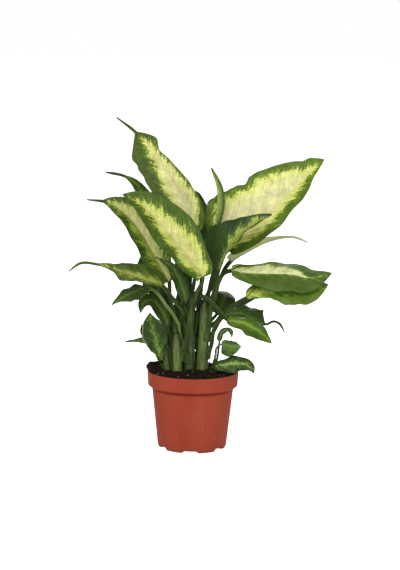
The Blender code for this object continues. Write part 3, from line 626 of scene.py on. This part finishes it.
def leaf_skin(name, skin, vein_gap):
    """The skin of one leaf, thin and waxy: cream that breaks up along the veins into mottled green, with a
    soft shine. lie holds a point's mm across from the midrib and along from the neck, and its share of the
    half width; tint holds its mm inside the cream, whether it is underneath, and whether it is stalk."""
    made, shader, add = surface(name)
    lie = add("SeparateXYZ", add("Attribute", attribute_name="lie")).outputs
    tint = add("SeparateXYZ", add("Attribute", attribute_name="tint")).outputs
    across = add("Math ABSOLUTE", lie[0])
    lean = add("Math MULTIPLY_ADD", across, VEIN_LEAN, 1.0)
    lean = add("Math MULTIPLY", across, lean)
    vein = add("Math SUBTRACT", lie[1], lean)
    hand = add("Math GREATER_THAN", lie[0], 0.0)
    # Streaks lie along the side veins: thin across them and long from the midrib to the margin.
    away = add("Math MULTIPLY", across, 0.24)
    flow = add("CombineXYZ", vein, away, add("Math MULTIPLY", hand, 40.0))
    streak = add("TexNoise", flow, Scale=0.22, Detail=4.0, Roughness=0.62)
    flat = add("CombineXYZ", lie[0], lie[1])
    fleck = add("TexNoise", flat, Scale=0.42, Detail=4.0, Roughness=0.68)
    cloud = add("TexNoise", flat, Scale=0.08)
    # Streaks of 4.5 mm, flecks of 2.4 mm and clouds of 12 mm each shift where the cream ends.
    reach = tint[0]
    for pattern, shift in ((streak, 7.0), (fleck, 5.6), (cloud, 4.0)):
        swing = add("Math SUBTRACT", pattern, 0.5)
        reach = add("Math MULTIPLY_ADD", swing, shift * skin["feather"], reach)
    depth = add("MapRange", reach, -8.0, 20.0, 0.0, 1.0)
    greens = ((0.0, skin["green"][0]), (0.19, skin["green"][1]), (0.26, skin["edge"]))
    creams = ((0.335, skin["cream"][1]), (0.95, skin["cream"][0]))
    base = add("ValToRGB", depth, stops=greens + creams)
    if "cream_left" in skin:
        creams = ((0.335, skin["cream_left"][1]), (0.95, skin["cream_left"][0]))
        left = add("ValToRGB", depth, stops=greens + creams)
        base = add("Mix", hand, left, base, data_type="RGBA")
    tone = add("Math ADD", fleck, add("Math ADD", streak, cloud))
    tone = add("MapRange", tone, 1.15, 1.85, 0.72, 1.28)
    base = add("Mix", 1.0, base, tone, data_type="RGBA", blend_type="MULTIPLY")
    # The midrib shows pale on the upper face, and the rim of the blade as a thin line. On leaf_left_low
    # that
    # line is pale and on the left half only: a painted highlight where the margin curls up into the light.
    shown = add("Attribute", attribute_name="rib")
    rib = add("MapRange", across, 0.5, 1.1, skin["rib_show"], 0.0)
    rib = add("Math MULTIPLY", rib, shown)
    base = add("Mix", rib, base, skin["rib"], data_type="RGBA")
    rim_line_and_highlight = add("MapRange", lie[2], skin["rim_line_from"], 1.0, 0.0, 0.5)
    base = add("Mix", rim_line_and_highlight, base, skin["rim_line_and_highlight"], data_type="RGBA")
    below = add("Mix", 0.5, base, skin["under"], data_type="RGBA")
    base = add("Mix", tint[1], base, below, data_type="RGBA")
    # Fibres run up the stalk.
    upright = add("Math MULTIPLY", lie[1], 0.05)
    fibres = add("CombineXYZ", lie[0], upright, hand)
    fibres = add("TexNoise", fibres, Scale=1.1, Detail=3.0)
    stem = add("ValToRGB", fibres, stops=((0.36, skin["stalk"][0]), (0.64, skin["stalk"][1])))
    base = add("Mix", tint[2], base, stem, data_type="RGBA")
    # The relief is a ridge at each side vein, four finer threads to each, and a pucker of the skin.
    ridge = add("Math MULTIPLY", vein, math.tau / vein_gap)
    ridge = add("Math SINE", ridge)
    thread = add("Math MULTIPLY", vein, math.tau / vein_gap * 4)
    thread = add("Math SINE", thread)
    height = add("Math MULTIPLY_ADD", thread, 0.25, ridge)
    pucker = add("TexNoise", flat, Scale=2.4, Detail=3.0)
    height = add("Math MULTIPLY_ADD", pucker, 1.2, height)
    bump = add("Bump", Strength=0.22, Distance=0.0003, Height=height)
    rough = add("MapRange", add("Math ADD", cloud, tint[1]), 0.3, 1.4, 0.38, 0.62)
    add(shader, Base_Color=base, Roughness=rough, Normal=bump, Specular_IOR_Level=0.22)
    return made


# cane, node and turn: the cane it grows on, the height of its joint in mm, and the side that it leaves
# from in degrees (0 is the front, 90 the right). stalk and blade: points up the stalk, and from the neck
# along the midrib to the tip. face: the way that the upper face looks. fold: how far each half is lifted,
# in degrees. left and right: half widths. wave: height, number and phase of the margin's waves. tail: the
# share of the blade that is a thin drawn-out tip. sheath: its length. stalk_r: half the stalk's width.
LEAVES = {
    "leaf_crown_left": dict(
        cane="c", node=182, turn=170, stalk=[(1, 16, 226), (0, 8, 258)],
        blade=[
            (-3, 0, 286), (-19, -4, 331), (-40, -6, 367), (-60, -6, 395), (-79, -6, 415),
            (-103, -6, 433),
        ],
        face=(-0.1, -0.95, 0.2), fold=(20, 28), tail=0.17, wave=(1, 3, 0.5),
        left=(24, 29, 31, 31, 30, 29, 25), right=(23, 26, 22, 18, 15, 9, 15),
    ),
    "leaf_crown_back": dict(
        cane="c", node=150, turn=110, stalk=[(6, 24, 190), (10, 24, 230)],
        blade=[(13, 24, 262), (14, 24, 298), (10, 26, 320), (-4, 26, 332), (-18, 26, 326)],
        face=(-0.7, -0.6, 0.2), fold=(25, 25), left=19, right=13,
    ),
    "leaf_crown_right": dict(
        cane="d", node=156, turn=160, stalk=[(18, 17, 195), (28, 16, 238)],
        blade=[(42, 8, 262), (75, 12, 292), (104, 18, 320), (135, 26, 349), (168, 34, 380)],
        face=(-0.29, -0.9, 0.3), fold=(25, 25), wave=(1.8, 3.5, 0),
        left=(48, 62, 62, 60, 57, 54, 47, 50, 48, 43, 38.5, 33, 26.5, 17.5, 13),
        right=(24, 31, 32, 30, 27, 20, 9),
    ),
    "leaf_crown_dark": dict(
        cane="d", node=178, turn=80, stalk=[(25, -4, 214)],
        blade=[
            (30, -15, 238), (38, -24, 260), (49, -28, 278), (62, -30, 291), (79, -31, 303),
            (98, -32, 314),
        ],
        face=(-0.56, -0.57, 0.59), fold=(25, 25),
        left=(26, 37, 36, 28, 20, 13, 8), right=(12, 17, 19, 17, 13, 9, 5),
    ),
    "leaf_spear": dict(
        cane="d", node=178, turn=190, stalk=[(19, 8, 206), (26, 5, 238)],
        blade=[(31, 2, 296), (36, 2, 322), (33, 1, 345), (20, 0, 369)],
        face=(-0.5, -0.8, 0), fold=(55, 55), left=8, right=9, wave=(0.3, 2, 0),
    ),
    "leaf_front_big": dict(
        cane="c", node=112, turn=-35, stalk=[(-5, -10, 165), (2, -17, 205)],
        blade=[(11, -22, 229), (-9, -30, 259), (-41, -38, 297), (-68, -44, 325), (-92, -48, 338)],
        face=(0.33, -0.89, 0.31), fold=(27, 27), wave=(1.6, 3, 1),
        left=(22, 27, 29, 30, 28, 23, 13), right=(20, 28, 33, 34, 31, 25, 15),
    ),
    "leaf_left_high": dict(
        cane="b", node=140, turn=-165, stalk=[(-26, 2, 176), (-32, 2, 200)],
        blade=[
            (-33, 0, 219), (-43, -4, 238), (-54, -7, 258), (-67, -9, 281), (-88, -10, 307),
            (-112, -12, 323), (-140, -12, 327),
        ],
        face=(0.2, -0.9, 0.3), fold=(20, 20), tail=0.12,
        left=(17, 20, 20, 18, 15, 13, 9), right=(13, 20, 28, 31, 30, 25, 14),
    ),
    "leaf_left_peak": dict(
        cane="g", node=134, turn=150, stalk=[(-31, 30, 180), (-36, 22, 260)],
        blade=[(-54, 16, 318), (-68, 14, 333), (-79, 13, 346), (-91, 12, 355), (-118, 12, 361)],
        face=(0.1, -0.8, 0.5), fold=(20, 20), tail=0.3, left=8, right=8,
    ),
    "leaf_right_upper": dict(
        cane="d", node=142, turn=45, stalk=[(21, -7, 180), (27, -12, 208), (37, -14, 233)],
        blade=[
            (47, -15, 238), (65, -17, 236), (95, -24, 236), (125, -28, 236), (149, -30, 232),
            (177, -32, 239),
        ],
        face=(0, -0.6, 0.8), fold=(-10, -10), wave=(1.5, 3, 0.6),
        left=(17, 23, 25, 25, 25, 22, 13), right=(13, 20, 25, 27, 27, 24, 14),
    ),
    "leaf_right_lower": dict(
        cane="d", node=118, turn=75, stalk=[(28, -8, 168), (47, -14, 189)],
        blade=[(68, -20, 203), (98, -25, 214), (123, -28, 217), (150, -30, 219), (173, -31, 224)],
        face=(0, -0.6, 0.8), fold=(-8, -10),
        left=(20, 25, 26, 26, 24, 18, 11), right=(5, 11, 18, 24, 26, 25, 16),
    ),
    "leaf_right_high": dict(
        cane="f", node=154, turn=50, stalk=[(19, 26, 186), (32, 20, 218)],
        blade=[(46, 20, 245), (72, 28, 261), (100, 36, 273), (128, 38, 277), (151, 38, 270)],
        face=(0, 0.45, 0.9), left=(26, 26, 20, 10, 4), right=(20, 20, 14, 7, 4), tail=0.22,
    ),
    "leaf_left_long": dict(
        cane="c", node=148, turn=-75, stalk=[(-14, -12, 183), (-31, -28, 207)],
        blade=[
            (-40, -36, 219), (-64, -41, 228), (-95, -45, 239), (-126, -47, 248), (-145, -48, 249),
            (-161, -48, 238),
        ],
        face=(0, -0.7, 0.7), fold=(-8, 5), tail=0.3, wave=(1.6, 3, 0),
        left=(4, 5, 6, 10, 12, 4, 2), right=(20, 20, 21, 18, 13, 8, 5),
    ),
    "leaf_left_drooping": dict(
        cane="c", node=129, turn=-95, sheath=9, stalk=[(-16, -1, 150), (-19, -12, 167), (-36, -19, 192)],
        blade=[(-57, -20, 214), (-68, -20, 213), (-80, -20, 208), (-94, -19, 200), (-107, -18, 191)],
        face=(-0.2, -0.6, 0.8), fold=(-10, -5),
        left=(12, 16, 13, 8, 3), right=(7, 12, 14, 12, 7), stalk_r=1.8,
    ),
    "leaf_centre_dark": dict(
        cane="c", node=170, turn=-60, sheath=11,
        blade=[(-11, 1, 193), (-14, -1, 206), (-20, -5, 223), (-31, -14, 242), (-50, -21, 255)],
        face=(0.2, -0.9, 0.3), fold=(10, 10), left=(8, 9, 9, 6, 3), right=(8, 9, 9, 6, 3), stalk_r=2.2,
    ),
    "leaf_left_inner": dict(
        cane="b", node=105, turn=-110, stalk=[(-31, -1, 142)],
        blade=[(-35, 2, 162), (-44, 4, 182), (-55, 4, 193), (-66, 4, 190), (-70, 3, 177)],
        face=(0.3, -0.7, 0.6), fold=(10, 10), left=10, right=13, stalk_r=2,
    ),
    "leaf_left_low": dict(
        cane="a", node=104.5, turn=-105, sheath=8,
        blade=[(-43, -11, 117), (-46, -15, 132), (-51, -18, 152), (-55, -19, 167), (-57, -20, 181)],
        face=(0.2, -0.95, 0.2), left=(5, 11, 15, 17, 15, 10), right=(7, 12, 15, 16, 13, 8),
        stalk_r=2.2,
    ),
    "leaf_left_shaded": dict(
        cane="a", node=132, turn=180, sheath=8,
        blade=[(-51, 10, 147), (-58, 10, 147), (-66, 9, 151), (-68, 8, 161)],
        face=(0.3, -0.8, 0.3), fold=(10, 10), left=6, right=7, stalk_r=1.6,
    ),
    "leaf_left_tip": dict(
        cane="a", node=115, turn=180, sheath=8, stalk=[(-44, 5, 129)],
        blade=[(-51, 5, 133), (-60, 8, 137), (-74, 10, 139), (-90, 10, 138)],
        face=(0, -0.2, 0.95), fold=(10, 10), left=9, right=10, tail=0.2, stalk_r=1.6,
    ),
    "leaf_right_round": dict(
        cane="f", node=140, turn=85, sheath=10, stalk=[(22, 36, 162)],
        blade=[(31, 42, 171), (38, 54, 182), (42, 66, 192), (44, 78, 196)],
        face=(0.1, -0.75, 0.65), fold=(5, 5), left=(15, 18, 17, 13), right=(14, 16, 15, 11), stalk_r=2,
    ),
    "leaf_right_shaded": dict(
        cane="f", node=110, turn=60, stalk=[(26, 16, 154)],
        blade=[
            (40, 11, 174), (58, 11, 178), (74, 10, 174), (86, 9, 166), (96, 8, 164), (105, 8, 168),
            (113, 8, 165), (120, 6, 154),
        ],
        face=(0, -0.6, 0.8), fold=(-5, -5), tail=0.36,
        left=(11, 13, 16, 19, 21), right=(12, 15, 15, 12, 8),
    ),
    "leaf_right_bright": dict(
        cane="c", node=184, turn=50, sheath=12, stalk=[(7, -10, 204), (18, -17, 200), (31, -21, 188)],
        blade=[(44, -22, 175), (64, -26, 171), (83, -29, 162), (102, -32, 146)],
        face=(0.1, -0.6, 0.8), fold=(-5, -5), left=(10, 13, 15, 13, 7), right=(10, 13, 15, 14, 8),
    ),
    "leaf_sucker_curled": dict(
        cane="e", node=113, turn=120, sheath=5, stalk=[(33, -14, 136)],
        blade=[(34, -12, 144), (37, -11, 153), (43, -10, 158), (49, -10, 156), (50, -10, 149)],
        face=(-0.3, -0.5, 0.8), fold=(20, 20), left=5.5, right=5.5, stalk_r=1.1,
    ),
    "leaf_sucker_heart": dict(
        cane="e", node=108, turn=30, sheath=5, stalk=[(28, -26, 127), (31, -27, 139)],
        blade=[(37, -28, 143), (48, -30, 140), (62, -32, 141)],
        face=(-0.1, -0.8, 0.5), fold=(-5, -5), left=(8, 9, 7), right=(13, 13, 8), stalk_r=1.1,
    ),
    "leaf_sucker_low": dict(
        cane="e", node=103.5, turn=-60, sheath=5,
        blade=[(28, -30, 114), (45, -36, 118), (62, -40, 120), (74, -42, 116), (79, -43, 108)],
        face=(-0.1, -0.75, 0.65), fold=(-5, -5),
        left=(8, 11, 12, 10, 7), right=(8, 12, 13, 10, 6), stalk_r=1.2,
    ),
    "leaf_back_high_left": dict(
        cane="f", node=160, turn=-130, sheath=10,
        blade=[(-8, 46, 190), (-12, 52, 208), (-18, 60, 234), (-30, 80, 272), (-42, 96, 300)],
        face=(0.3, -0.7, 0.6), fold=(20, 20),
        left=(6, 8, 12, 17, 20, 18, 11), right=(8, 12, 16, 18, 20, 18, 11),
    ),
    "leaf_back_high_right": dict(
        cane="f", node=166, turn=140, stalk=[(22, 50, 206)],
        blade=[(28, 58, 245), (60, 74, 285), (90, 88, 308), (116, 96, 312)],
        face=(-0.4, -0.6, 0.7), fold=(18, 18), left=27, right=27,
    ),
    "leaf_back_left": dict(
        cane="g", node=120, turn=-100, stalk=[(-41, 40, 164)],
        blade=[(-50, 48, 190), (-60, 56, 214), (-64, 60, 236), (-58, 62, 256)],
        face=(0.2, -0.85, 0.4), left=(8, 12, 14, 14, 9), right=(8, 12, 13, 12, 8),
    ),
    "leaf_back_right": dict(
        cane="f", node=127, turn=150, sheath=12, stalk=[(30, 56, 158), (58, 58, 178)],
        blade=[(78, 60, 191), (100, 70, 200), (122, 80, 200), (140, 88, 190)],
        face=(0, -0.3, 0.95), left=17, right=17,
    ),
    "leaf_back_tall_left": dict(
        cane="g", node=106, turn=15, sheath=11,
        blade=[(-21, 16, 130), (-19, 17, 155), (-17, 18, 180), (-15, 19, 205), (-14, 20, 222)],
        face=(0, -1, 0.1), fold=(4, 4), left=(9, 11, 11, 9, 6), right=(8, 10, 10, 7, 5), stalk_r=2,
    ),
    "leaf_back_mid_left": dict(
        cane="g", node=146, turn=-45, sheath=9,
        blade=[(-38, 16, 168), (-42, 15, 182), (-46, 14, 200), (-50, 14, 218), (-52, 14, 232)],
        face=(0.1, -1, 0.1), fold=(6, 6), left=(11, 14, 14, 11, 6), right=(10, 12, 12, 10, 6),
        stalk_r=2,
    ),
    "leaf_back_tall_right": dict(
        cane="f", node=104, turn=-48, sheath=11,
        blade=[(5, 20, 126), (3, 19, 138), (2, 19, 151), (2, 19, 164)],
        face=(0, -1, 0.1), fold=(4, 4), left=(8, 9, 9), right=(7, 9, 9), stalk_r=1.8, wave=(1, 2, 0),
    ),
    "leaf_back_drooping": dict(
        cane="f", node=106, turn=180, stalk=[(6, 50, 136)],
        blade=[(2, 62, 138), (-6, 80, 130), (-13, 94, 110), (-18, 102, 84)],
        face=(0, 0.5, 0.9), left=19, right=19,
    ),
    "leaf_back_low": dict(
        cane="g", node=105, turn=-170, sheath=12, stalk=[(-30, 42, 132)],
        blade=[(-34, 52, 144), (-42, 74, 154), (-48, 90, 150), (-52, 102, 138)],
        face=(0.1, 0.1, 1), left=17, right=17,
    ),
}

# cream: the pale middle by the midrib, then nearer the green, and cream_left the left half's own; edge:
# where they meet; green: the margin, then its inner part; left and right: the share of each half that is
# cream, at even steps from neck to tip; feather: how far streaks shift its end; rib_show: how plain the
# midrib is; under: blended in underneath; stalk: its darker and paler streaks; rim_line_and_highlight: the
# rim of the blade, a thin line that on leaf_left_low is a painted highlight; rim_line_from: the share of
# the half width where it starts; highlight_left_only: whether only the left half has it.
PLAIN = dict(
    cream=("AEB868", "93A048"), edge="5E762A", green=("344A16", "465F1E"), feather=1, under="5A6E34",
    left=(-0.1, -0.08, -0.08, -0.1, -0.2), right=(-0.1, -0.08, -0.08, -0.1, -0.2), rib="6E8440",
    rib_show=0.35, stalk=("253512", "445B22"), rim_line_and_highlight="36451F", rim_line_from=0.965, highlight_left_only=False,
)
SKINS = {
    "leaf_crown_left": dict(
        cream=("DAD6A4", "D2D57C"), edge="8EA238", green=("475A1C", "62762E"), feather=2.6, rib="D9CFA0",
        rib_show=0.6,
        left=(0.3, 0.5, 0.56, 0.52, 0.44, 0.34, 0.2, 0, -0.6, -0.8),
        right=(0.4, 0.7, 0.8, 0.8, 0.76, 0.74, 0.5, 0.2, -0.6, -0.8),
    ),
    "leaf_crown_right": dict(
        cream=("DFDB9E", "D8DE78"), edge="93A834", green=("55701F", "6F882A"), feather=3.2, rib="E6DCA4",
        rib_show=0.6, left=(0.6, 0.8, 0.84, 0.82, 0.79, 0.74, 0.62, 0.35, -0.2),
        right=(0.1, 0.36, 0.56, 0.6, 0.55, 0.5, 0.42, 0.25, -0.2),
    ),
    "leaf_front_big": dict(
        cream=("D4D08E", "C6CE66"), edge="849A34", green=("48601E", "62792A"), feather=3.4, rib="D4D08C",
        rib_show=0.6, left=(0.45, 0.6, 0.6, 0.54, 0.48, 0.4, 0.3, 0.1, -0.3),
        right=(0.5, 0.66, 0.66, 0.6, 0.52, 0.45, 0.34, 0.15, -0.3),
    ),
    "leaf_left_high": dict(
        cream=("C6C488", "B4BC66"), cream_left=("A2A850", "8A9A36"), edge="6C8430",
        green=("394F18", "4C6820"), feather=3, rib="C4C28C", rib_show=0.5,
        left=(0.3, 0.4, 0.45, 0.5, 0.45, 0.3, -0.1), right=(0.5, 0.6, 0.62, 0.6, 0.55, 0.4, -0.1),
    ),
    "leaf_right_upper": dict(
        cream=("E8EABC", "D4DC90"), edge="84A03A", green=("4C6622", "60782C"), feather=2.6, rib="C4CC94",
        left=(0.3, 0.64, 0.68, 0.62, 0.5, 0.2, -0.2, -0.3),
        right=(-0.3, -0.05, -0.02, -0.04, -0.1, -0.1, -0.3),
    ),
    "leaf_right_lower": dict(
        cream=("CDD47C", "B6C452"), edge="86A038", green=("5C7824", "789430"), feather=3.2, rib="C6D080",
        rib_show=0.8,
        left=(0.4, 0.4, 0.3, 0.2, 0.1, 0, -0.3), right=(0.4, 0.4, 0.3, 0.2, 0.1, 0, -0.3),
    ),
    "leaf_right_high": dict(cream=("D8DCA0", "C8D088"), green=("6A8634", "96AA56"), under="DADCAE"),
    "leaf_spear": dict(
        cream=("A9BC6C", "93A852"), green=("3A5218", "4F6C24"), feather=0.8,
        left=(1.4, 1.4, 1.4, 1.2), right=(0, 0, 0, 0),
    ),
    "leaf_crown_dark": dict(
        cream=("B2BA58", "94A242"), edge="5E782C", green=("2A4014", "3C561E"), feather=3.6, rib="6E8844",
        left=(-0.1, -0.05, 0.1, 0.3, 0.3, -0.1), right=(0.3, 0.8, 0.9, 0.7, 0.3, -0.2),
    ),
    # Painted shade: these leaves stand deep among the canes, and their greens are painted dark for the
    # shadow there, leaf_back_tall_right's near black.
    "leaf_centre_dark": dict(green=("2E4414", "42601E"), rib="6A8240", rib_show=0.3),
    "leaf_back_tall_left": dict(green=("22330C", "2F4512"), rib="40561E"),
    "leaf_back_mid_left": dict(green=("22330C", "2F4512"), rib="40561E"),
    "leaf_back_tall_right": dict(green=("10180A", "1A260C"), rib="1F2C12"),
    "leaf_crown_back": dict(green=("324A16", "44601E")),
    "leaf_left_long": dict(
        cream=("A8AA5E", "8E9640"), edge="66782C", green=("40531C", "546828"), feather=2.2,
        left=(0.1, 0.2, 0.25, 0.1, 0, -0.1), right=(0.1, 0.25, 0.3, 0.2, 0, -0.1),
    ),
    "leaf_right_bright": dict(
        cream=("9CB450", "82A23A"), edge="668826", green=("425E18", "587420"), rib="8CA850",
        left=(0.2, 0.25, 0.15, 0, -0.1), right=(0.1, 0.15, 0.1, 0, -0.1),
    ),
    "leaf_sucker_low": dict(
        cream=("CCD2A4", "93A862"), green=("2E4316", "40591E"), feather=2, rib="93A862",
        left=(-0.1, 0.15, 0.2, 0, -0.2), right=(-0.1, 0.1, 0.15, 0, -0.2),
    ),
    "leaf_left_low": dict(
        cream=("C0C898", "8A9C50"), green=("2C4216", "42601E"), feather=2.4, rib="54702A",
        left=(0.1, 0.14, 0.05, -0.05, -0.1), right=(0, 0.06, 0, -0.08, -0.2),
        # The pale rim on the left half is a painted highlight, where the curled-up margin catches the
        # light.
        rim_line_and_highlight="B4C08A", rim_line_from=0.86, highlight_left_only=True,
    ),
    "leaf_sucker_heart": dict(green=("38541A", "4E7020"), rib="7C9448"),
    "leaf_left_drooping": dict(stalk=("566E30", "8CA05A")),
}

STALK_FADE = 3.0  # mm of the blade over which the stalk's colour gives way to the blade's
TIP_GREEN = 9.0  # mm that the cream draws back at the tip
CREAM_STOP, CREAM_FADE = 0.94, 0.06  # where along the blade it starts to, and over how much
RIB_STOP, RIB_FADE = 0.75, 0.2  # and where the pale midrib fades

for name, spec in LEAVES.items():
    leaf, skin = Leaf(spec), {**PLAIN, **SKINS.get(name, {})}
    rows = leaf.rows
    # A flat grid is doubled face to back, and then each point of it goes to its place on the leaf.
    bm = bmesh.new()
    lie = bm.verts.layers.float_vector.new("lie")
    tint = bm.verts.layers.float_vector.new("tint")
    rib = bm.verts.layers.float.new("rib")
    bmesh.ops.create_grid(bm, x_segments=len(COLUMNS) - 1, y_segments=len(rows) - 1, size=1.0)
    upper = set(bm.verts)
    bmesh.ops.extrude_face_region(bm, geom=bm.faces[:])
    for v in bm.verts:
        column = COLUMNS[round((v.co.x + 1.0) / 2.0 * (len(COLUMNS) - 1))]
        row = rows[round((v.co.y + 1.0) / 2.0 * (len(rows) - 1))]
        width = row["widths"][column > 0]
        share = steps_along(skin["right" if column > 0 else "left"], row["t"])
        stalk = 1.0 - smoothstep(row["t"] * leaf.length / STALK_FADE)
        drawn_back = TIP_GREEN * smoothstep((row["body"] - CREAM_STOP) / CREAM_FADE)
        under = v not in upper
        rim = abs(column) if column < 0 or not skin["highlight_left_only"] else 0.0
        v[lie] = (column * width, row["s"] - leaf.axis.neck, rim)
        v[tint] = ((share - abs(column)) * width - drawn_back, float(under), stalk)
        v[rib] = 1.0 - smoothstep((row["body"] - RIB_STOP) / RIB_FADE)
        v.co = leaf.place(row, column, under)
    bmesh.ops.recalc_face_normals(bm, faces=bm.faces)
    short = name.removeprefix("leaf_")
    made = piece_from(bm, short + "_leaf", leaf_skin(short + "_skin", skin, leaf.vein_gap), 50)
    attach(made, "root")
    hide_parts(name)
